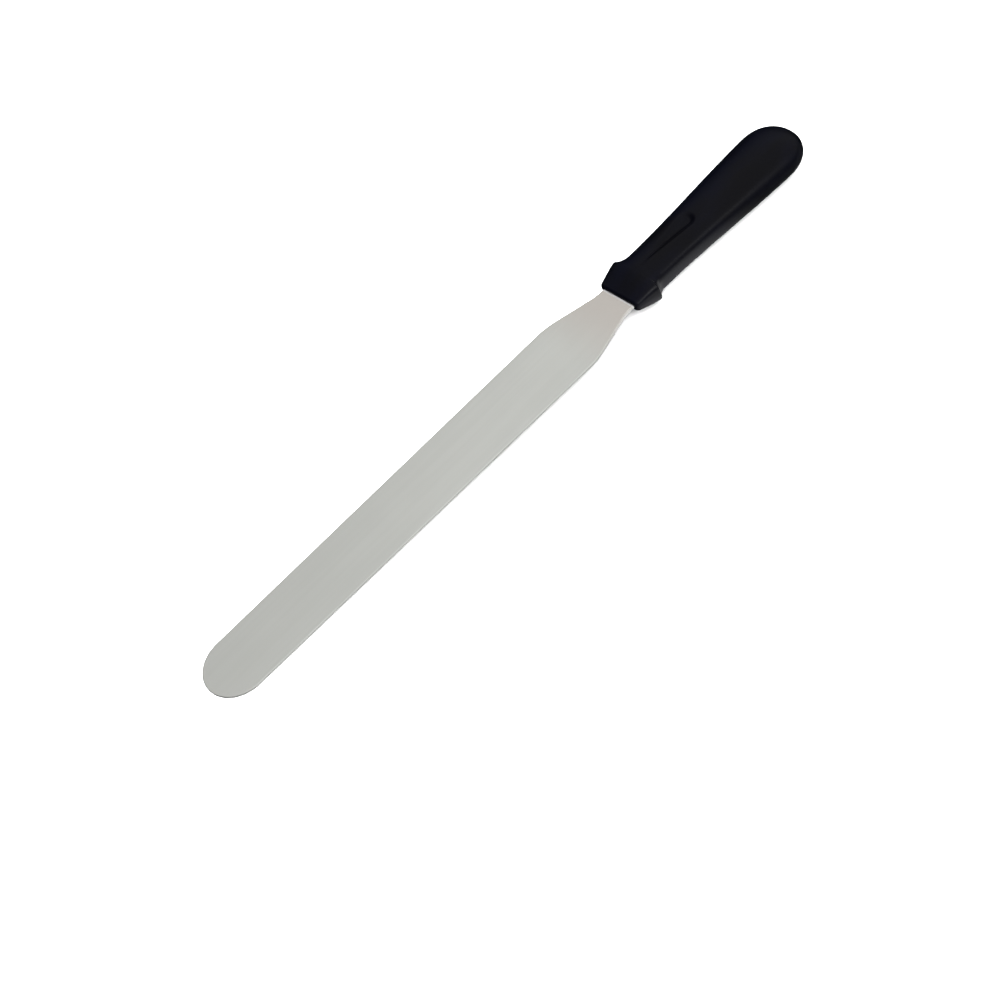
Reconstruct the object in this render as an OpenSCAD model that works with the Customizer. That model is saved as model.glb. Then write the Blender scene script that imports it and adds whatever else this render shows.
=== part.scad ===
// Icing spatula: a straight stamped blade whose tang is moulded into a one-piece handle.
// Millimetres. X runs along the tool, with the tip at -X and the butt of the handle at +X.
// Z is normal to the flat of the blade. The origin is at the middle of the lowest level.

/* [Blade] */
// Blade that shows, from the tip to the front of the handle
blade_l = 254; // [200:1:320]
// Width of the blade at the shoulder, where it is widest
shoulder_w = 36; // [32:0.2:42]
// Width of the blade at its rounded tip
tip_w = 33.4; // [28:0.2:36]
// Thickness of the working part of the blade
blade_t = 1; // [0.8:0.1:1.4]
// Distance from the handle to where the shoulder starts to taper
shoulder_l = 31.5; // [26:0.5:40]
// Radius that rounds the shoulder
shoulder_r = 36; // [20:1:40]

/* [Neck and tang] */
// Width of the neck at the handle
neck_w = 19.8; // [18:0.2:20.4]
// Length of the neck before it spreads
neck_l = 5; // [4:0.5:8]
// Radius between the neck and the shoulder
neck_r = 20; // [12:1:24]
// Thickness of the neck and the tang
tang_t = 1.8; // [1.6:0.1:2.2]
// Width of the tang inside the handle
tang_w = 15; // [12:0.5:18]
// Length of the tang inside the handle
tang_l = 88; // [70:1:96]
// Number of holes through the tang
hole_n = 3; // [2:1:4]
// Diameter of each hole through the tang
hole_d = 6; // [4:0.5:7]

/* [Handle] */
// Length of the handle
handle_l = 118.5; // [112:0.5:135]
// Width of the lip that the blade comes out of
lip_w = 25; // [24:0.1:26]
// Thickness of that lip
lip_t = 5; // [4.8:0.1:6]
// Width across the guard
guard_w = 31.2; // [26.5:0.1:32]
// Height of the side of the guard at its widest line
guard_side = 12.8; // [9:0.1:13]
// Thickness of the guard at its middle
guard_t = 14; // [13:0.5:16]
// Distance from the lip to the widest line of the guard
guard_l = 12.4; // [9:0.1:14]
// Width of the grip at its narrowest
waist_w = 24; // [22:0.2:26]
// Thickness of the grip at its narrowest
waist_t = 14.2; // [13:0.1:16]
// Width that the grip widens to at the butt
butt_w = 32.8; // [30:0.2:36]
// Thickness that the grip thickens to at the butt
butt_t = 19; // [16:0.5:21]

/* [Thumb hollow] */
// Depth of the hollow for the thumb in each face of the grip
hollow_depth = 1.3; // [0.4:0.1:1.4]
// Width of the hollow at its round end
hollow_w = 10.2; // [8:0.2:13]
// Length of the hollow
hollow_l = 37; // [28:1:44]

/* [Hidden] */

// Blade outline
tip_r = tip_w / 2;
arc_step = 3;
side_angle = atan2(shoulder_w / 2 - tip_r, blade_l - tip_r - shoulder_l);
nose = [tip_r - blade_l, 0];
tang_root = 4;
tang_end_r = tang_w / 2;
hole_first = 20;
hole_margin = 14;
hole_gap = (tang_l - hole_first - hole_margin) / (hole_n - 1);
taper_end = -14;
slab = 60;

// Handle: guard
lip_edge = 1.1;
lip_corner = 1.6;
rim_l = 0.7;
guard_end = guard_l + rim_l;
rim_edge = 0.9;
top_blend = 5;
step_l = 6.5;
step_power = 3;
top_step_x = 8.5;
top_step_l = 11.5;
top_from = 0.2;
top_share = 0.5;
edge_r = 5;
edge_most = 0.7;
side_bow = 0.12;
side_share = 0.25;
edge_share = 0.5;
// Handle: grip and butt
waist_power = 2.8;
butt_power = 2.2;
waist_x = 20;
widest_x = 110;
cap_l = 18.6;
cap_power = 2.25;
grip_rings = 34;
cap_rings = 16;
ring_n = 72;
// Handle: thumb hollow
hollow_x = guard_l + 3.2;
hollow_start_w = 1;
hollow_slope = 3.2;

steel = [0.74, 0.745, 0.73];
black = [0.08, 0.078, 0.088];

function ease(u) = let (c = min(1, max(0, u))) c * c * (3 - 2 * c);
function mix(a, b, u) = a + (b - a) * u;
function arc(centre, r, from, to) =
    let (n = ceil(abs(to - from) / arc_step))
    [for (i = [0:n]) centre + r * [cos(mix(from, to, i / n)), sin(mix(from, to, i / n))]];

// Points of the arc of radius r that rounds corner b of the path a, b, c
function rounded(a, b, c, r) =
    let (
        d1 = (b - a) / norm(b - a),
        d2 = (c - b) / norm(c - b),
        side = sign(d1.x * d2.y - d1.y * d2.x),
        turn = acos(d1 * d2),
        start = b - d1 * r * tan(turn / 2),
        centre = start + side * r * [-d1.y, d1.x],
        from = atan2((start - centre).y, (start - centre).x)
    )
    arc(centre, r, from, from + side * turn);

// One side of the blade, from the tip to the end of the neck inside the handle
function blade_side() =
    let (
        tip = arc(nose, tip_r, 180, 90 + side_angle),
        shoulder = [-shoulder_l, shoulder_w / 2],
        throat = [-neck_l, neck_w / 2],
        root = [tang_root, neck_w / 2]
    )
    concat(
        tip,
        rounded(tip[len(tip) - 1], shoulder, throat, shoulder_r),
        rounded(shoulder, throat, root, neck_r),
        [root]
    );

function mirrored(path) = [for (i = [len(path) - 1:-1:0]) [path[i].x, -path[i].y]];

module blade_outline() {
    side = blade_side();
    polygon(concat(side, mirrored(side)));
}

module tang_outline() {
    translate([0, -neck_w / 2]) square([tang_root, neck_w]);
    translate([0, -tang_w / 2]) square([tang_l - tang_end_r, tang_w]);
    translate([tang_l - tang_end_r, 0]) circle(r = tang_end_r, $fn = 64);
}

module tang_holes() {
    for (i = [0:hole_n - 1])
        translate([hole_first + i * hole_gap, 0, -slab / 2])
            cylinder(d = hole_d, h = slab, $fn = 48);
}

// The blade seen from its edge: thin to the shoulder, then thicker up to the handle
module thickness_profile() {
    thin = blade_t / 2;
    thick = tang_t / 2;
    polygon([
        [-blade_l - 1, -thin], [-shoulder_l, -thin], [taper_end, -thick], [tang_root, -thick],
        [tang_root, thick], [taper_end, thick], [-shoulder_l, thin], [-blade_l - 1, thin]
    ]);
}

module tang() {
    difference() {
        translate([0, 0, -tang_t / 2]) linear_extrude(tang_t) tang_outline();
        tang_holes();
    }
}

module blade() {
    color(steel) translate(to_frame) union() {
        intersection() {
            translate([0, 0, -slab / 2]) linear_extrude(slab) blade_outline();
            rotate([90, 0, 0]) translate([0, 0, -slab / 2]) linear_extrude(slab) thickness_profile();
        }
        tang();
    }
}

// Half sizes of the guard and the grip at a distance x behind the lip
function flare(x) = min(1, x / guard_l);
// The same rise, with the corner at its end rounded off over top_blend each way
function soft_flare(x) =
    let (left = guard_l + top_blend - x)
    left > 2 * top_blend ? flare(x) : 1 - max(0, left) ^ 2 / (4 * top_blend * guard_l);
// The guard meets the grip in a crisp step at its sides and in a long easy slope on top
function side_step(x) = 1 - (1 - min(1, max(0, (x - guard_end) / step_l))) ^ step_power;
function top_step(x) = ease((x - top_step_x) / top_step_l);
function stepped(x, u) = mix(side_step(x), top_step(x), ease((u - top_from) / top_share));
function waist_to_butt(x) = ease((x - waist_x) / (widest_x - waist_x));
// How far a section is drawn in, x along a quarter round of radius r
function quarter_round(x, r) = let (c = min(r, max(0, x))) r - sqrt(r ^ 2 - c ^ 2);
function lip_round(x) = quarter_round(lip_edge - x, lip_edge);
function corner_round(x) =
    quarter_round(lip_corner - x, lip_corner) + quarter_round(x - guard_end + rim_edge, rim_edge);
function cap_scale(x) =
    let (u = (x - handle_l + cap_l) / cap_l)
    u <= 0 ? 1 : (max(0, 1 - u ^ cap_power)) ^ (1 / cap_power);

function guard_half_w(x) = mix(lip_w, guard_w, flare(x)) / 2 - corner_round(x);
function guard_half_side(x) = mix(lip_t, guard_side, soft_flare(x)) / 2 - lip_round(x);
function guard_half_t(x) = mix(lip_t, guard_t, soft_flare(x)) / 2 - lip_round(x);
function grip_half_w(x) = mix(waist_w, butt_w, waist_to_butt(x)) / 2 * cap_scale(x);
function grip_half_t(x) = mix(waist_t, butt_t, waist_to_butt(x)) / 2 * cap_scale(x);
function grip_power(x) = mix(waist_power, butt_power, waist_to_butt(x));
function half_t(x) = mix(guard_half_t(x), grip_half_t(x), top_step(x));

// A quarter of the guard's section, at u from 0 (side) to 1 (top): a nearly flat side, a round edge, a crowned top
function guard_quarter(w, side, top, r, u) =
    u < side_share ? [w - side_bow * (u / side_share) ^ 2, (side - r) * u / side_share] :
    let (edge_y = w - side_bow - r)
    u < edge_share ? let (a = 90 * (u - side_share) / (edge_share - side_share))
        [edge_y + r * cos(a), side - r + r * sin(a)] :
    let (y = edge_y * (1 - u) / (1 - edge_share))
        [y, side + (top - side) * (1 - (y / edge_y) ^ 2)];

// A quarter of the grip's section, an oval, at the same u
function grip_quarter(w, top, power, u) =
    [w * max(0, cos(90 * u)) ^ (2 / power), top * sin(90 * u) ^ (2 / power)];

function quarter(x, u) =
    let (r = min(edge_r, guard_half_side(x) * edge_most))
    mix(
        guard_quarter(guard_half_w(x), guard_half_side(x), guard_half_t(x), r, u),
        grip_quarter(grip_half_w(x), grip_half_t(x), grip_power(x), u),
        stepped(x, u)
    );

// How far the thumb hollow lowers a face at (x, y)
function hollow_half_w(x) = mix(hollow_start_w, hollow_w, (x - hollow_x) / (hollow_l - hollow_w / 2)) / 2;
function hollow_inset(x, y) =
    let (end_x = hollow_x + hollow_l - hollow_w / 2)
    x > end_x ? hollow_w / 2 - norm([x - end_x, y]) : min(hollow_half_w(x) - abs(y), x - hollow_x);
function hollow(x, y) = hollow_depth * ease(hollow_inset(x, y) / hollow_slope);

// One ring of the handle's skin: the quarter section, mirrored into the other three quarters
function ring(x) = [
    for (i = [0:ring_n - 1])
        let (
            turn = 4 * i / ring_n,
            n = floor(turn),
            u = n % 2 == 0 ? turn - n : 1 - turn + n,
            q = quarter(x, u),
            y = n == 0 || n == 3 ? q.x : -q.x,
            z = n < 2 ? q.y : -q.y
        )
        [x, y, z - sign(z) * hollow(x, y)]
];

// Ring positions: close together at the lip, the corner of the guard, its step and the butt
lip_stations = [for (i = [0:5]) lip_corner * (1 - cos(90 * i / 5))];
guard_stations = [for (i = [1:5]) mix(lip_corner, guard_end - rim_edge, i / 6)];
rim_stations = [for (i = [0:4]) guard_end - rim_edge + rim_edge * sin(90 * i / 4)];
step_stations = [for (i = [1:10]) guard_end + step_l * (i / 10) ^ 1.5];
grip_start = guard_end + step_l;
grip_end = handle_l - cap_l;
grip_stations = [for (i = [1:grip_rings]) mix(grip_start, grip_end, i / grip_rings)];
cap_stations = [for (i = [1:cap_rings - 1]) grip_end + cap_l * sin(90 * i / cap_rings)];
stations = concat(lip_stations, guard_stations, rim_stations, step_stations, grip_stations, cap_stations);

// The tool is drawn with its lip at x = 0 and the middle of the blade at z = 0, then moved to its frame.
lowest = max([for (x = stations) half_t(x)]);
to_frame = [(blade_l - handle_l) / 2, 0, lowest];

module handle_skin() {
    rings = len(stations);
    points = [for (x = stations) each ring(x)];
    butt = rings * ring_n;
    lip = [for (i = [0:ring_n - 1]) i];
    sides = [
        for (s = [0:rings - 2], i = [0:ring_n - 1])
            let (
                j = (i + 1) % ring_n,
                a = s * ring_n + i,
                b = s * ring_n + j,
                c = a + ring_n,
                d = b + ring_n
            )
            each [[a, c, b], [b, c, d]]
    ];
    last = (rings - 1) * ring_n;
    cap = [for (i = [0:ring_n - 1]) [last + i, butt, last + (i + 1) % ring_n]];
    polyhedron(concat(points, [[handle_l, 0, 0]]), concat([lip], sides, cap), convexity = 6);
}

// The plastic fills the holes of the tang, so the tang itself is the shape of the pocket
module handle() {
    color(black) translate(to_frame) difference() {
        handle_skin();
        tang();
    }
}

blade();
handle();
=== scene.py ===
import math

import bmesh
import bpy
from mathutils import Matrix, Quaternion, Vector


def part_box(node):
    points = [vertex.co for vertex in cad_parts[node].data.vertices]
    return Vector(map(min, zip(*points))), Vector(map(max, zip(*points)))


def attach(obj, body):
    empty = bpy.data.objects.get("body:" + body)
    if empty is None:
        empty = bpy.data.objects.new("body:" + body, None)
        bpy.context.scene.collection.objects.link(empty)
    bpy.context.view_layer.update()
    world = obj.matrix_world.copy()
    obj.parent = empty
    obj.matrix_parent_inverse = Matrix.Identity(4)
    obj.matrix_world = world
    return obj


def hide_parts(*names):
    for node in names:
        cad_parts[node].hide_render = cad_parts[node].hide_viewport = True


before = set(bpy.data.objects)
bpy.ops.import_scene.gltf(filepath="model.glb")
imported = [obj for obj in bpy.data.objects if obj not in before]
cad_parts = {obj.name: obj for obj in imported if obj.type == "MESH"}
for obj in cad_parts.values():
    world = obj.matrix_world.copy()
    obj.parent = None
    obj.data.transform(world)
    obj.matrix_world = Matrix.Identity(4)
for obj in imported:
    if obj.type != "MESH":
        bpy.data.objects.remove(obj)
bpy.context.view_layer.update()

# Icing spatula: a straight stainless blade with its tang moulded into a one-piece black handle.
# Each CAD node is replaced by one fine mesh. Overall sizes and places come from the frame. Shapes are
# worked out in millimetres from the handle's lip (x), the centre line (y) and the middle of the blade
# (z), then moved there.

mm = 0.001
blade_low, blade_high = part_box("blade")
handle_low, handle_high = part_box("handle")
lip_x = handle_low[0]
mid_z = (blade_low[2] + blade_high[2]) / 2

# Blade: overall sizes from the frame, the rest in millimetres and, for taper_end, from the lip
blade_l = (lip_x - blade_low[0]) / mm
tang_l = (blade_high[0] - lip_x) / mm
tang_t = (blade_high[2] - blade_low[2]) / mm
shoulder_w = 36.0
tip_w = 33.4
blade_t = 1.0
shoulder_l = 31.5
shoulder_r = 36.0
neck_w = 19.8
neck_l = 5.0
neck_r = 20.0
tang_w = 15.0
tang_root = 4.0
tang_step = 1.6
taper_end = -14.0
hole_d = 6.0
hole_places = (20.0, 47.0, 74.0)
rim_r = 0.28
rim_margin = 0.3

# Handle: overall sizes from the frame, the rest in millimetres, shares and powers. The butt is a hair
# thinner than in CAD, because the finer rings reach a little further out than the facets do
handle_l = (handle_high[0] - handle_low[0]) / mm
butt_w = 32.8
butt_t = 18.98
lip_w = 25.0
lip_t = 5.0
guard_w = 31.2
guard_side = 12.8
guard_t = 14.0
guard_l = 12.4
waist_w = 24.0
waist_t = 14.2
lip_edge = 1.1
lip_corner = 1.6
rim_l = 0.7
rim_edge = 0.9
guard_end = guard_l + rim_l
top_blend = 5.0
step_l = 6.5
step_power = 3.0
top_step_x = 8.5
top_step_l = 11.5
top_from = 0.2
top_share = 0.5
edge_r = 5.0
edge_most = 0.7
side_bow = 0.12
side_share = 0.25
edge_share = 0.5
waist_power = 2.8
butt_power = 2.2
waist_x = 20.0
widest_x = 110.0
cap_l = 18.6
cap_power = 2.25
hollow_depth = 1.3
hollow_w = 10.2
hollow_l = 37.0
hollow_x = guard_l + 3.2
hollow_start_w = 1.0
hollow_slope = 3.2

# How fine the meshes are: counts, a power that crowds rings towards the guard, the rings' reach past the
# thumb hollow, and two angles in degrees, the step along an arc and the least that counts as a crease
arc_step = 1.5
straight_steps = 24
rim_steps = 4
blade_columns = 10
pin_sides = 48
quarter_points = 40
lip_rings = 14
front_rings = 24
back_rings = 10
step_rings = 26
thumb_rings = 84
grip_rings = 44
cap_rings = 44
step_crowding = 1.5
hollow_margin = 1.0
sharp_angle = 40

# Marks for the materials: where wear starts and how fast it grows, in bulge per millimetre, and the rim
worn_from = 0.35
worn_span = 1.2
worn_blurs = 2
rim_gain = 6.0


# ---------------------------------------------------------------- small helpers

def clamp(u):
    return min(1.0, max(0.0, u))


def ease(u):
    c = clamp(u)
    return c * c * (3 - 2 * c)


def mix(a, b, u):
    return a + (b - a) * u


def spread(a, b, count):
    """count + 1 values from a to b, evenly spaced."""
    return [mix(a, b, i / count) for i in range(count + 1)]


def in_frame(x, y, z):
    """A point in the tool's own millimetres, in the shared frame's metres."""
    return (lip_x + x * mm, y * mm, mid_z + z * mm)


def new_piece(name, points, faces):
    mesh = bpy.data.meshes.new(name)
    mesh.from_pydata([in_frame(*p) for p in points], [], faces)
    mesh.validate()
    piece = bpy.data.objects.new(name, mesh)
    bpy.context.collection.objects.link(piece)
    return piece


def cut(piece, cutter):
    """Takes the cutter's volume out of the piece, for good."""
    step = piece.modifiers.new("cut", "BOOLEAN")
    step.operation = "DIFFERENCE"
    step.solver = "EXACT"
    step.object = cutter
    depsgraph = bpy.context.evaluated_depsgraph_get()
    result = bpy.data.meshes.new_from_object(piece.evaluated_get(depsgraph))
    piece.modifiers.clear()
    old = piece.data
    piece.data = result
    bpy.data.meshes.remove(old)


def shade(piece):
    """Smooth shading, with a crease wherever two faces meet at more than sharp_angle degrees."""
    mesh = piece.data
    mesh.shade_smooth()
    mesh.set_sharp_from_angle(angle=math.radians(sharp_angle))


def mark(piece, name, value_at):
    """Stores value_at(vertex) on every vertex, for a material to read."""
    mesh = piece.data
    attribute = mesh.attributes.new(name, "FLOAT", "POINT")
    for vertex, item in zip(mesh.vertices, attribute.data):
        item.value = value_at(vertex)


# ---------------------------------------------------------------- blade

def arc(centre, radius, start, end):
    """Points on an arc, from the start angle to the end angle in degrees."""
    count = math.ceil(abs(end - start) / arc_step)
    angles = [math.radians(a) for a in spread(start, end, count)]
    return [(centre[0] + radius * math.cos(a), centre[1] + radius * math.sin(a)) for a in angles]


def rounded(a, b, c, radius):
    """The arc that rounds corner b of the path a, b, c."""
    a, b, c = Vector(a), Vector(b), Vector(c)
    into = (b - a).normalized()
    out = (c - b).normalized()
    side = math.copysign(1, into.x * out.y - into.y * out.x)
    turn = into.angle(out)
    start = b - into * radius * math.tan(turn / 2)
    centre = start + side * radius * Vector((-into.y, into.x))
    first = math.degrees(math.atan2(start.y - centre.y, start.x - centre.x))
    return arc(centre, radius, first, first + side * math.degrees(turn))


def blade_side():
    """Half of the outline of blade, neck and tang, from the nose of the tip to the end of the tang."""
    tip_r = tip_w / 2
    end_r = tang_w / 2
    side_angle = math.degrees(math.atan2(shoulder_w / 2 - tip_r, blade_l - tip_r - shoulder_l))
    tip = arc((tip_r - blade_l, 0), tip_r, 180, 90 + side_angle)
    shoulder = (-shoulder_l, shoulder_w / 2)
    throat = (-neck_l, neck_w / 2)
    root = (tang_root, neck_w / 2)
    shoulder_arc = rounded(tip[-1], shoulder, throat, shoulder_r)
    neck_arc = rounded(shoulder, throat, root, neck_r)
    start_x, start_y = tip[-1]
    end_x, end_y = shoulder_arc[0]
    straight = [
        (x, mix(start_y, end_y, (x - start_x) / (end_x - start_x)))
        for x in spread(start_x, end_x, straight_steps)[1:-1]
    ]
    tang_end = arc((tang_l - end_r, 0), end_r, 90, 0)
    return tip + straight + shoulder_arc + neck_arc + [root, (tang_root + tang_step, end_r)] + tang_end


def inset(path, distance):
    """The half outline moved inwards, with its two ends kept on the centre line."""
    moved = []
    for i, point in enumerate(path):
        before = Vector(path[i - 1]) if i > 0 else Vector((path[1][0], -path[1][1]))
        after = Vector(path[i + 1]) if i < len(path) - 1 else Vector((path[-2][0], -path[-2][1]))
        here = Vector(point)
        into = (here - before).normalized()
        out = (after - here).normalized()
        outward_in = Vector((-into.y, into.x))
        outward_out = Vector((-out.y, out.x))
        mitre = (outward_in + outward_out) / (1 + outward_in.dot(outward_out))
        moved.append(here - mitre * distance)
    return moved


def blade_half_t(x):
    """Half the strip's thickness, which grows over the shoulder from the blade's to the tang's."""
    return mix(blade_t, tang_t, ease((x + shoulder_l) / (taper_end + shoulder_l))) / 2


def make_blade():
    side = blade_side()
    count = len(side)
    around = 2 * count - 2
    points = []
    faces = []

    # Loops round the rim, from the lower face over the edge to the upper face
    quarter = [math.radians(a) for a in spread(0, 90, rim_steps)]
    rises = [(rim_r * (1 - math.cos(a)), rim_r * (1 - math.sin(a))) for a in quarter]
    rises.append((rim_r + rim_margin, 0))
    levels = [(d, drop, -1) for d, drop in reversed(rises)] + [(d, drop, 1) for d, drop in rises]
    for distance, drop, face_side in levels:
        half = inset(side, distance)
        loop = [(p.x, p.y) for p in half] + [(p.x, -p.y) for p in half[-2:0:-1]]
        points += [(x, y, face_side * (blade_half_t(x) - drop)) for x, y in loop]
    for level in range(len(levels) - 1):
        for i in range(around):
            a = level * around + i
            b = level * around + (i + 1) % around
            faces.append((a, b, b + around, a + around))

    # The two flat faces: rows across the blade, closed by a fan at each end
    for level, flip in ((0, True), (len(levels) - 1, False)):
        base = level * around
        rows = []
        for i in range(1, count - 1):
            left = base + i
            right = base + around - i
            x, y, z = points[left]
            row = [left]
            for column in range(1, blade_columns):
                row.append(len(points))
                points.append((x, mix(y, -y, column / blade_columns), z))
            rows.append(row + [right])
        flat = []
        for row, following in zip(rows, rows[1:]):
            for c in range(blade_columns):
                flat.append((row[c], following[c], following[c + 1], row[c + 1]))
        for c in range(blade_columns):
            flat.append((base, rows[0][c], rows[0][c + 1]))
            flat.append((base + count - 1, rows[-1][c + 1], rows[-1][c]))
        faces += [tuple(reversed(f)) if flip else f for f in flat]
    return new_piece("blade_strip", points, faces)


def make_hole_pins():
    """The three pins that cut the tang's holes. No corner lies on the centre line, so they cut cleanly."""
    reach = 3.0
    points = []
    faces = []
    for place in hole_places:
        base = len(points)
        for z in (-reach, reach):
            for i in range(pin_sides):
                a = 2 * math.pi * (i + 0.5) / pin_sides
                points.append((place + hole_d / 2 * math.cos(a), hole_d / 2 * math.sin(a), z))
        upper = base + pin_sides
        for i in range(pin_sides):
            j = (i + 1) % pin_sides
            faces.append((base + i, base + j, upper + j, upper + i))
        faces.append(tuple(base + i for i in reversed(range(pin_sides))))
        faces.append(tuple(upper + i for i in range(pin_sides)))
    return new_piece("hole_pins", points, faces)


# ---------------------------------------------------------------- handle

def flare(x):
    """How far the guard has widened from the lip, 0 to 1."""
    return min(1.0, x / guard_l)


def soft_flare(x):
    """The same rise, with the corner at its end rounded off over top_blend each way."""
    left = guard_l + top_blend - x
    if left > 2 * top_blend:
        return flare(x)
    return 1 - max(0.0, left) ** 2 / (4 * top_blend * guard_l)


def stepped(x, u):
    """How far the guard has become the grip: a crisp step at the sides, a long easy slope on top."""
    side_step = 1 - (1 - clamp((x - guard_end) / step_l)) ** step_power
    top_step = ease((x - top_step_x) / top_step_l)
    return mix(side_step, top_step, ease((u - top_from) / top_share))


def waist_to_butt(x):
    """How far the grip has swelled from its waist to its butt, 0 to 1."""
    return ease((x - waist_x) / (widest_x - waist_x))


def quarter_round(x, radius):
    """How far a section is drawn in, x along a quarter round."""
    along = min(radius, max(0.0, x))
    return radius - math.sqrt(radius ** 2 - along ** 2)


def cap_scale(x):
    """How much of its size a section keeps, which falls to nothing over the rounded end."""
    u = (x - handle_l + cap_l) / cap_l
    return 1.0 if u <= 0 else max(0.0, 1 - u ** cap_power) ** (1 / cap_power)


def guard_quarter(x, u):
    """A quarter of the guard's section, from its side (u = 0) to its top (u = 1)."""
    lip_round = quarter_round(lip_edge - x, lip_edge)
    front_round = quarter_round(lip_corner - x, lip_corner)
    back_round = quarter_round(x - guard_end + rim_edge, rim_edge)
    w = mix(lip_w, guard_w, flare(x)) / 2 - (front_round + back_round)
    side = mix(lip_t, guard_side, soft_flare(x)) / 2 - lip_round
    top = mix(lip_t, guard_t, soft_flare(x)) / 2 - lip_round
    r = min(edge_r, side * edge_most)
    edge_y = w - side_bow - r
    if u < side_share:
        return w - side_bow * (u / side_share) ** 2, (side - r) * u / side_share
    if u < edge_share:
        a = math.radians(90 * (u - side_share) / (edge_share - side_share))
        return edge_y + r * math.cos(a), side - r + r * math.sin(a)
    y = edge_y * (1 - u) / (1 - edge_share)
    return y, side + (top - side) * (1 - (y / edge_y) ** 2)


def grip_quarter(x, u):
    """A quarter of the grip's oval section, at the same u."""
    w = mix(waist_w, butt_w, waist_to_butt(x)) / 2 * cap_scale(x)
    top = mix(waist_t, butt_t, waist_to_butt(x)) / 2 * cap_scale(x)
    power = mix(waist_power, butt_power, waist_to_butt(x))
    a = math.radians(90 * u)
    return w * max(0.0, math.cos(a)) ** (2 / power), top * math.sin(a) ** (2 / power)


def section_quarter(x, u):
    """A quarter of the handle's section, without the thumb hollow."""
    blend = stepped(x, u)
    guard_y, guard_z = guard_quarter(x, u)
    grip_y, grip_z = grip_quarter(x, u)
    return mix(guard_y, grip_y, blend), mix(guard_z, grip_z, blend)


def hollow(x, y):
    """How far the thumb hollow lowers a face."""
    round_r = hollow_w / 2
    end_x = hollow_x + hollow_l - round_r
    if x > end_x:
        inset_by = round_r - math.hypot(x - end_x, y)
    else:
        half_w = mix(hollow_start_w, hollow_w, (x - hollow_x) / (hollow_l - round_r)) / 2
        inset_by = min(half_w - abs(y), x - hollow_x)
    return hollow_depth * ease(inset_by / hollow_slope)


def handle_stations():
    """Where the handle's rings stand: close together at its edges and in the thumb hollow."""
    rim_start = guard_end - rim_edge
    grip_start = guard_end + step_l
    grip_end = handle_l - cap_l
    hollow_end = hollow_x + hollow_l + hollow_margin
    lip = [lip_corner * (1 - math.cos(math.radians(a))) for a in spread(0, 90, lip_rings)]
    front = spread(lip_corner, rim_start, front_rings)[1:]
    back = [rim_start + rim_edge * math.sin(math.radians(a)) for a in spread(0, 90, back_rings)][1:]
    step = [guard_end + step_l * u ** step_crowding for u in spread(0, 1, step_rings)][1:]
    thumb = spread(grip_start, hollow_end, thumb_rings)[1:]
    grip = spread(hollow_end, grip_end, grip_rings)[1:]
    cap = [grip_end + cap_l * math.sin(math.radians(a)) for a in spread(0, 90, cap_rings)][1:-1]
    return lip + front + back + step + thumb + grip + cap


def make_handle():
    stations = handle_stations()
    around = 4 * quarter_points
    points = []
    for x in stations:
        for i in range(around):
            turn = 4 * i / around
            quarter = int(turn)
            u = turn - quarter if quarter % 2 == 0 else 1 - turn + quarter
            y, z = section_quarter(x, u)
            y = y if quarter in (0, 3) else -y
            z = z if quarter < 2 else -z
            lowered = hollow(x, y)
            points.append((x, y, z - math.copysign(lowered, z)))
    faces = [tuple(range(around))]
    for s in range(len(stations) - 1):
        for i in range(around):
            a = s * around + i
            b = s * around + (i + 1) % around
            faces.append((a, a + around, b + around, b))
    butt = len(points)
    points.append((handle_l, 0, 0))
    last = (len(stations) - 1) * around
    faces += [(last + i, butt, last + (i + 1) % around) for i in range(around)]
    return new_piece("handle_moulding", points, faces)


# ---------------------------------------------------------------- materials

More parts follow.
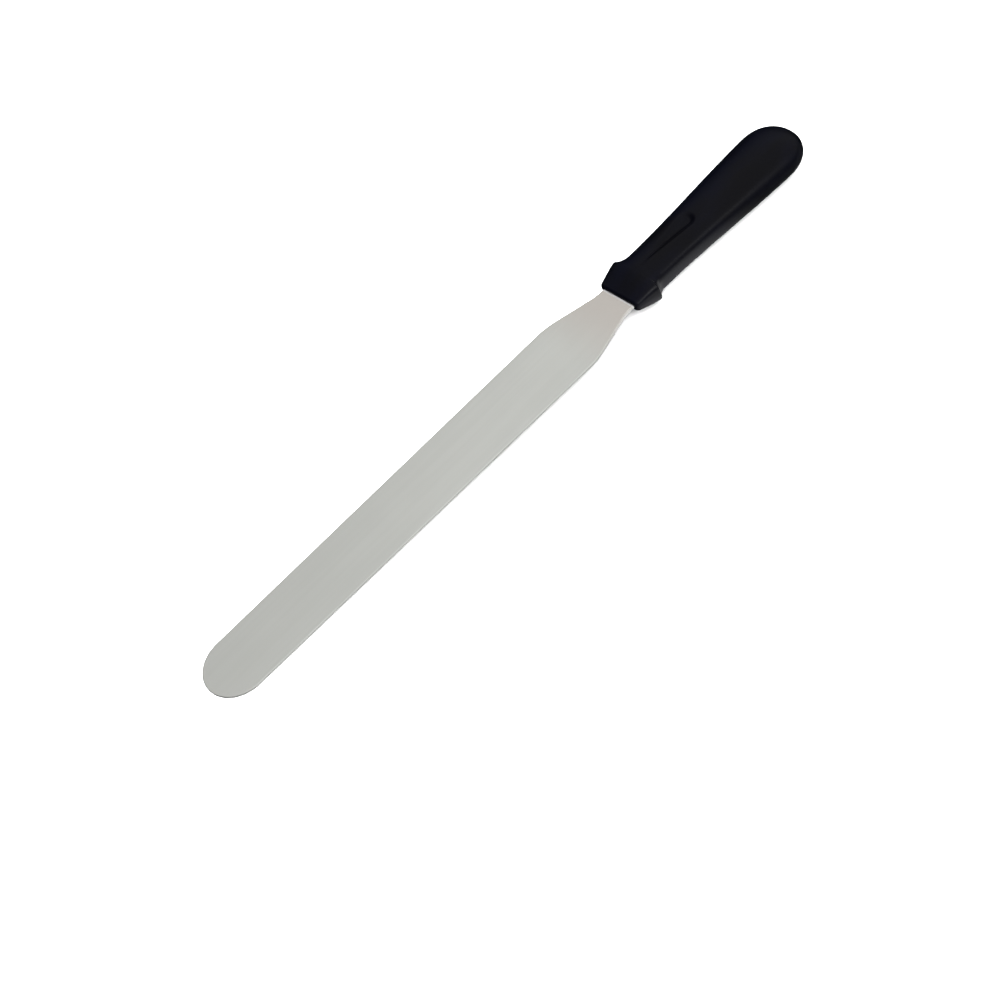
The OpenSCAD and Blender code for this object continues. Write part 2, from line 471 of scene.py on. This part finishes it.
class Nodes:
    """A short way to build a material's node tree."""

    def __init__(self, name):
        self.material = bpy.data.materials.new(name)
        self.material.use_nodes = True
        self.tree = self.material.node_tree
        self.tree.nodes.clear()
        self.shader = self.add("ShaderNodeBsdfPrincipled")
        self.output = self.add("ShaderNodeOutputMaterial")
        self.link(self.shader.outputs["BSDF"], self.output.inputs["Surface"])
        self.place = self.add("ShaderNodeTexCoord").outputs["Object"]

    def add(self, kind, **settings):
        node = self.tree.nodes.new(kind)
        for key, value in settings.items():
            setattr(node, key, value)
        return node

    def link(self, source, target):
        self.tree.links.new(source, target)

    def feed(self, socket, value):
        """Links value if it is an output, or else stores it on the socket."""
        if isinstance(value, bpy.types.NodeSocket):
            self.link(value, socket)
        else:
            socket.default_value = value

    def stretched(self, scale, turn=0.0):
        """The object's own place in metres, turned about Z and multiplied by scale."""
        mapping = self.add("ShaderNodeMapping")
        mapping.inputs["Rotation"].default_value = (0, 0, math.radians(turn))
        mapping.inputs["Scale"].default_value = scale
        self.link(self.place, mapping.inputs["Vector"])
        return mapping.outputs["Vector"]

    def noise(self, scale, detail=2.0, roughness=0.5, turn=0.0):
        node = self.add("ShaderNodeTexNoise")
        node.inputs["Scale"].default_value = 1.0
        node.inputs["Detail"].default_value = detail
        node.inputs["Roughness"].default_value = roughness
        self.link(self.stretched(scale, turn), node.inputs["Vector"])
        return node.outputs["Fac"]

    def ranged(self, value, low, high, to_low=0.0, to_high=1.0):
        """value, mapped smoothly from low..high to to_low..to_high and held there."""
        node = self.add("ShaderNodeMapRange", interpolation_type="SMOOTHSTEP")
        self.feed(node.inputs["Value"], value)
        node.inputs["From Min"].default_value = low
        node.inputs["From Max"].default_value = high
        node.inputs["To Min"].default_value = to_low
        node.inputs["To Max"].default_value = to_high
        return node.outputs["Result"]

    def maths(self, operation, a, b=0.0):
        node = self.add("ShaderNodeMath", operation=operation)
        self.feed(node.inputs[0], a)
        self.feed(node.inputs[1], b)
        return node.outputs["Value"]

    def colours(self, amount, a, b):
        node = self.add("ShaderNodeMix", data_type="RGBA")
        self.feed(node.inputs["Factor"], amount)
        self.feed(node.inputs["A"], a)
        self.feed(node.inputs["B"], b)
        return node.outputs["Result"]

    def attribute(self, name):
        return self.add("ShaderNodeAttribute", attribute_name=name).outputs["Fac"]

    def axis(self, name):
        split = self.add("ShaderNodeSeparateXYZ")
        self.link(self.place, split.inputs["Vector"])
        return split.outputs[name]

    def bump(self, height, depth, under=None):
        """Raises the surface by height times depth, in metres, over an earlier bump."""
        node = self.add("ShaderNodeBump")
        node.inputs["Strength"].default_value = 1.0
        node.inputs["Distance"].default_value = depth
        self.link(height, node.inputs["Height"])
        if under is not None:
            self.link(under, node.inputs["Normal"])
        return node.outputs["Normal"]


# Noise mostly lies between these two values, and patches show where it is over patch_low
noise_low = 0.3
noise_high = 0.7
patch_low = 0.35

# Steel: scales are per metre along X, Y and Z, depths in metres, and fades in millimetres from the lip
line_scale = (60, 4200, 4200)
band_scale = (14, 420, 420)
hairline_scale = (90, 2600, 2600)
hairline_turn = 9
hairline_low = 0.66
hairline_high = 0.78
steel_cloud_scale = (22, 34, 34)
line_depth = 0.0000012
band_depth = 0.000002
steel_cloud_depth = 0.00005
steel_light = (0.656, 0.664, 0.631, 1)
steel_dark = (0.641, 0.649, 0.615, 1)
steel_cloud = (0.620, 0.629, 0.598, 1)
steel_neck = (0.612, 0.572, 0.531, 1)
# Painted highlight: the pale colour of a thin line on the steel just outside the lip
steel_painted_highlight = (0.93, 0.93, 0.92, 1)
# Painted shade: a slightly darker colour for the blade's narrow rim
steel_rim_painted_shade = (0.63, 0.63, 0.615, 1)
cloud_most = 0.35
neck_most = 0.85
rim_shade_most = 0.8
neck_fade = (-42, -6)
lip_highlight_fade = (-1.2, -0.5)
steel_smooth = 0.36
steel_dull = 0.43
line_rough = 0.015
hairline_rough = 0.06
rim_rough = 0.45
steel_spread = 0.45

# Plastic, in the same units
grain_scale = (2600, 2600, 2600)
flow_scale = (26, 70, 70)
speck_scale = (900, 900, 900)
speck_high = 0.65
speck_least = 0.2
speck_most = 0.8
grain_depth = 0.000006
flow_depth = 0.00012
plastic_black = (0.0008, 0.0008, 0.0012, 1)
plastic_blue = (0.0009, 0.0010, 0.0024, 1)
plastic_worn = (0.0022, 0.0022, 0.003, 1)
plastic_smooth = 0.30
plastic_dull = 0.36
worn_polish = 0.06
plastic_specular = 0.05

# Floor: its paper, and the pool of light that only reflections see. The pool fades over each of its
# ranges, in metres in the shared frame. Towards the butt and the blade a share of it is left
paper_scale = (240, 240, 240)
paper_depth = 0.00004
paper_dark = (0.86, 0.86, 0.86, 1)
paper_light = (0.88, 0.88, 0.88, 1)
paper_rough = 0.9
paper_specular = 0.1
pool_near = (-0.021, -0.006)
pool_far = (-0.14, -0.05)
pool_butt = (0.095, 0.16)
pool_blade = (0.05, 0.078)
pool_butt_share = 0.18
pool_blade_share = 0.35
pool_bright = 4.2
pool_dark = 0.01


def steel_material():
    n = Nodes("ground_steel")
    shader = n.shader.inputs

    # Fine grinding lines run along the blade; broader bands and faint cross hairlines lie over them
    fine_lines = n.noise(line_scale, detail=3)
    bands = n.noise(band_scale, detail=2)
    hairlines = n.noise(hairline_scale, detail=1, turn=hairline_turn)
    clouds = n.noise(steel_cloud_scale, detail=3)
    rim = n.attribute("rim")

    neck = n.ranged(n.axis("X"), *(lip_x + x * mm for x in neck_fade))
    # Painted highlight: a thin bright line is painted on the steel where the blade enters the lip
    painted_lip_highlight = n.ranged(n.axis("X"), *(lip_x + x * mm for x in lip_highlight_fade))
    ground = n.colours(n.ranged(bands, noise_low, noise_high), steel_dark, steel_light)
    clouded = n.colours(n.ranged(clouds, patch_low, noise_high, 0, cloud_most), ground, steel_cloud)
    warmed = n.colours(n.maths("MULTIPLY", neck, neck_most), clouded, steel_neck)
    # Painted shade: the narrow rim is made a little darker, standing in for the dark line along the
    # blade's edge
    rim_shaded = n.colours(n.maths("MULTIPLY", rim, rim_shade_most), warmed, steel_rim_painted_shade)
    n.link(n.colours(painted_lip_highlight, rim_shaded, steel_painted_highlight), shader["Base Color"])

    smooth = n.ranged(clouds, noise_low, noise_high, steel_smooth, steel_dull)
    lined = n.maths("ADD", smooth, n.ranged(fine_lines, noise_low, noise_high, -line_rough, line_rough))
    scratched = n.ranged(hairlines, hairline_low, hairline_high, 0, hairline_rough)
    dulled = n.maths("ADD", lined, scratched)
    n.link(n.maths("ADD", dulled, n.maths("MULTIPLY", rim, rim_rough)), shader["Roughness"])

    relief = n.bump(fine_lines, line_depth)
    relief = n.bump(bands, band_depth, relief)
    relief = n.bump(clouds, steel_cloud_depth, relief)
    n.link(relief, shader["Normal"])

    # Light spreads across the grinding lines, so the tangent lies across the blade
    across = n.add("ShaderNodeCombineXYZ")
    across.inputs["Y"].default_value = 1.0
    n.link(across.outputs["Vector"], shader["Tangent"])
    shader["Metallic"].default_value = 1.0
    shader["Anisotropic"].default_value = steel_spread
    return n.material


def plastic_material():
    n = Nodes("moulded_plastic")
    shader = n.shader.inputs

    grain = n.noise(grain_scale, detail=2)
    flow = n.noise(flow_scale, detail=3)
    specks = n.noise(speck_scale, detail=1)
    worn = n.attribute("worn")

    handled = n.colours(n.ranged(flow, patch_low, noise_high), plastic_black, plastic_blue)
    rubbed = n.maths("MULTIPLY", worn, n.ranged(specks, patch_low, speck_high, speck_least, speck_most))
    n.link(n.colours(rubbed, handled, plastic_worn), shader["Base Color"])

    matt = n.ranged(flow, noise_low, noise_high, plastic_smooth, plastic_dull)
    n.link(n.maths("SUBTRACT", matt, n.maths("MULTIPLY", worn, worn_polish)), shader["Roughness"])

    relief = n.bump(grain, grain_depth)
    n.link(n.bump(flow, flow_depth, relief), shader["Normal"])
    shader["Specular IOR Level"].default_value = plastic_specular
    return n.material


def floor_material():
    """Pale paper. In reflections it is dark, but for a pool of light on the near side of the guard."""
    n = Nodes("studio_floor")
    paper = n.noise(paper_scale, detail=3)
    n.link(n.colours(paper, paper_dark, paper_light), n.shader.inputs["Base Color"])
    n.link(n.bump(paper, paper_depth), n.shader.inputs["Normal"])
    n.shader.inputs["Roughness"].default_value = paper_rough
    n.shader.inputs["Specular IOR Level"].default_value = paper_specular

    near = n.ranged(n.axis("Y"), *pool_near, 1, 0)
    not_far = n.ranged(n.axis("Y"), *pool_far)
    before_butt = n.ranged(n.axis("X"), *pool_butt, 1, pool_butt_share)
    past_blade = n.ranged(n.axis("X"), *pool_blade, pool_blade_share, 1)
    beside = n.maths("MULTIPLY", near, not_far)
    along = n.maths("MULTIPLY", before_butt, past_blade)
    pool = n.maths("MULTIPLY", beside, along)
    glow = n.add("ShaderNodeEmission")
    n.link(n.ranged(pool, 0, 1, pool_dark, pool_bright), glow.inputs["Strength"])
    mirrored = n.add("ShaderNodeLightPath").outputs["Is Glossy Ray"]
    mixed = n.add("ShaderNodeMixShader")
    n.link(mirrored, mixed.inputs[0])
    n.link(n.shader.outputs["BSDF"], mixed.inputs[1])
    n.link(glow.outputs["Emission"], mixed.inputs[2])
    n.link(mixed.outputs["Shader"], n.output.inputs["Surface"])
    return n.material


# ---------------------------------------------------------------- pieces

def curvature(piece):
    """How sharply the surface bulges at each vertex, per millimetre, from its faces' angles."""
    bm = bmesh.new()
    bm.from_mesh(piece.data)
    bm.verts.ensure_lookup_table()
    bulge = []
    for vertex in bm.verts:
        bends = [
            edge.calc_face_angle_signed(0.0) / (edge.calc_length() / mm)
            for edge in vertex.link_edges
            if edge.is_manifold and edge.calc_length() > 0
        ]
        bulge.append(max(bends, default=0.0))
    neighbours = [[edge.other_vert(vertex).index for edge in vertex.link_edges] for vertex in bm.verts]
    bm.free()
    for _ in range(worn_blurs):
        bulge = [
            (bulge[i] + sum(bulge[j] for j in near)) / (1 + len(near))
            for i, near in enumerate(neighbours)
        ]
    return bulge


def rim_amount(vertex):
    """1 on the blade's narrow rim, 0 on its two faces."""
    half_t = blade_half_t((vertex.co.x - lip_x) / mm) * mm
    return ease(rim_gain * (1 - abs(vertex.co.z - mid_z) / half_t))


def finish_piece(piece, node, material):
    """Shades a piece, gives it its material, and puts it on the body in place of its CAD node."""
    shade(piece)
    piece.data.materials.clear()
    piece.data.materials.append(material)
    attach(piece, "root")
    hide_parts(node)


blade = make_blade()
pins = make_hole_pins()
cut(blade, pins)
bpy.data.objects.remove(pins)
handle = make_handle()
cut(handle, blade)

bend = curvature(handle)
mark(handle, "worn", lambda vertex: ease((bend[vertex.index] - worn_from) / worn_span))
mark(blade, "rim", rim_amount)
finish_piece(blade, "blade", steel_material())
finish_piece(handle, "handle", plastic_material())


# ---------------------------------------------------------------- studio

# Camera: where it stands round the tool, in degrees and metres
view_azimuth = -19.69
view_elevation = 48.45
view_roll = -29.26
view_distance = 0.7724
view_aim = (-0.0431, -0.0364, mid_z)
lens = 64.8

# Floor: half its width, in metres
floor_half = 4.0

# Sky: brightest towards sky_axis. It fades between two cosines of the angle from that axis
sky_axis = (0.35, -0.25, 0.9)
horizon_low = 0.22
horizon_high = 0.72
sky_dark = 0.01
sky_bright = 1.2


def make_floor():
    """A plain floor, at the slant of a tool that rests on its tip and on the thick of its grip."""
    grip_x = handle_l - cap_l
    tip_low = in_frame(-blade_l + tip_w / 2, 0, -blade_t / 2)
    grip_low = in_frame(grip_x, 0, -section_quarter(grip_x, 1)[1])
    slope = (grip_low[2] - tip_low[2]) / (grip_low[0] - tip_low[0])

    def height_at(x):
        return tip_low[2] + slope * (x - tip_low[0])

    lowest = min(v.co.z - height_at(v.co.x) for piece in (blade, handle) for v in piece.data.vertices)
    sides = (-floor_half, floor_half)
    corners = [(x, y, height_at(x) + lowest) for x in sides for y in sides]
    mesh = bpy.data.meshes.new("floor")
    mesh.from_pydata(corners, [], [(0, 2, 3, 1)])
    floor = bpy.data.objects.new("floor", mesh)
    bpy.context.collection.objects.link(floor)
    mesh.materials.append(floor_material())


def add_softbox(name, towards, distance, size, power, mirrored=True):
    """A soft area light that faces the tool from the direction towards, at that distance."""
    data = bpy.data.lights.new(name, "AREA")
    data.shape = "RECTANGLE"
    data.size, data.size_y = size
    data.energy = power
    light = bpy.data.objects.new(name, data)
    direction = Vector(towards).normalized()
    light.location = direction * distance
    light.rotation_mode = "QUATERNION"
    light.rotation_quaternion = direction.to_track_quat("Z", "Y")
    light.visible_glossy = mirrored
    bpy.context.collection.objects.link(light)
    return light


def keep_off(light, piece):
    """Leaves one piece out of what a light shines on, so that the light isn't mirrored in it."""
    unlit = bpy.data.collections.new(light.name + "_unlit")
    unlit.objects.link(piece)
    unlit.collection_objects[0].light_linking.link_state = "EXCLUDE"
    light.light_linking.receiver_collection = unlit


def make_world():
    """A soft studio sky, brighter towards the handle's end, and the same again below the floor.

    The camera itself sees plain white.
    """
    world = bpy.data.worlds.new("studio")
    world.use_nodes = True
    tree = world.node_tree
    background = tree.nodes["Background"]
    outward = tree.nodes.new("ShaderNodeTexCoord").outputs["Generated"]
    nearer = tree.nodes.new("ShaderNodeMath")
    nearer.operation = "MAXIMUM"
    for slot, up in enumerate((1, -1)):
        towards = tree.nodes.new("ShaderNodeVectorMath")
        towards.operation = "DOT_PRODUCT"
        tree.links.new(outward, towards.inputs[0])
        towards.inputs[1].default_value = (sky_axis[0], sky_axis[1], up * sky_axis[2])
        tree.links.new(towards.outputs["Value"], nearer.inputs[slot])
    ramp = tree.nodes.new("ShaderNodeMapRange")
    ramp.interpolation_type = "SMOOTHSTEP"
    tree.links.new(nearer.outputs["Value"], ramp.inputs["Value"])
    ramp.inputs["From Min"].default_value = horizon_low
    ramp.inputs["From Max"].default_value = horizon_high
    ramp.inputs["To Min"].default_value = sky_dark
    ramp.inputs["To Max"].default_value = sky_bright
    seen = tree.nodes.new("ShaderNodeLightPath").outputs["Is Camera Ray"]
    strength = tree.nodes.new("ShaderNodeMix")
    tree.links.new(seen, strength.inputs["Factor"])
    tree.links.new(ramp.outputs["Result"], strength.inputs["A"])
    strength.inputs["B"].default_value = 1.0
    tree.links.new(strength.outputs["Result"], background.inputs["Strength"])
    background.inputs["Color"].default_value = (1, 1, 1, 1)
    bpy.context.scene.world = world


def make_camera():
    """The photograph's camera, turned about its own axis by view_roll."""
    azimuth, elevation, roll = (math.radians(a) for a in (view_azimuth, view_elevation, view_roll))
    back = Vector((
        math.sin(azimuth) * math.cos(elevation),
        -math.cos(azimuth) * math.cos(elevation),
        math.sin(elevation),
    ))
    data = bpy.data.cameras.new("camera")
    data.sensor_width = 36
    data.lens = lens
    data.clip_start = 0.01
    data.clip_end = 20
    camera = bpy.data.objects.new("camera", data)
    camera.location = Vector(view_aim) + back * view_distance
    camera.rotation_mode = "QUATERNION"
    camera.rotation_quaternion = back.to_track_quat("Z", "Y") @ Quaternion((0, 0, 1), roll)
    bpy.context.collection.objects.link(camera)
    bpy.context.scene.camera = camera


make_camera()
make_floor()
make_world()
key = add_softbox("key", towards=(-0.1, -0.85, 0.62), distance=1.7, size=(1.4, 0.35), power=30)
keep_off(key, blade)
add_softbox("fill", towards=(0.1, -0.1, 1), distance=2.2, size=(3.4, 3.4), power=200, mirrored=False)
bpy.context.scene.view_settings.view_transform = "Standard"
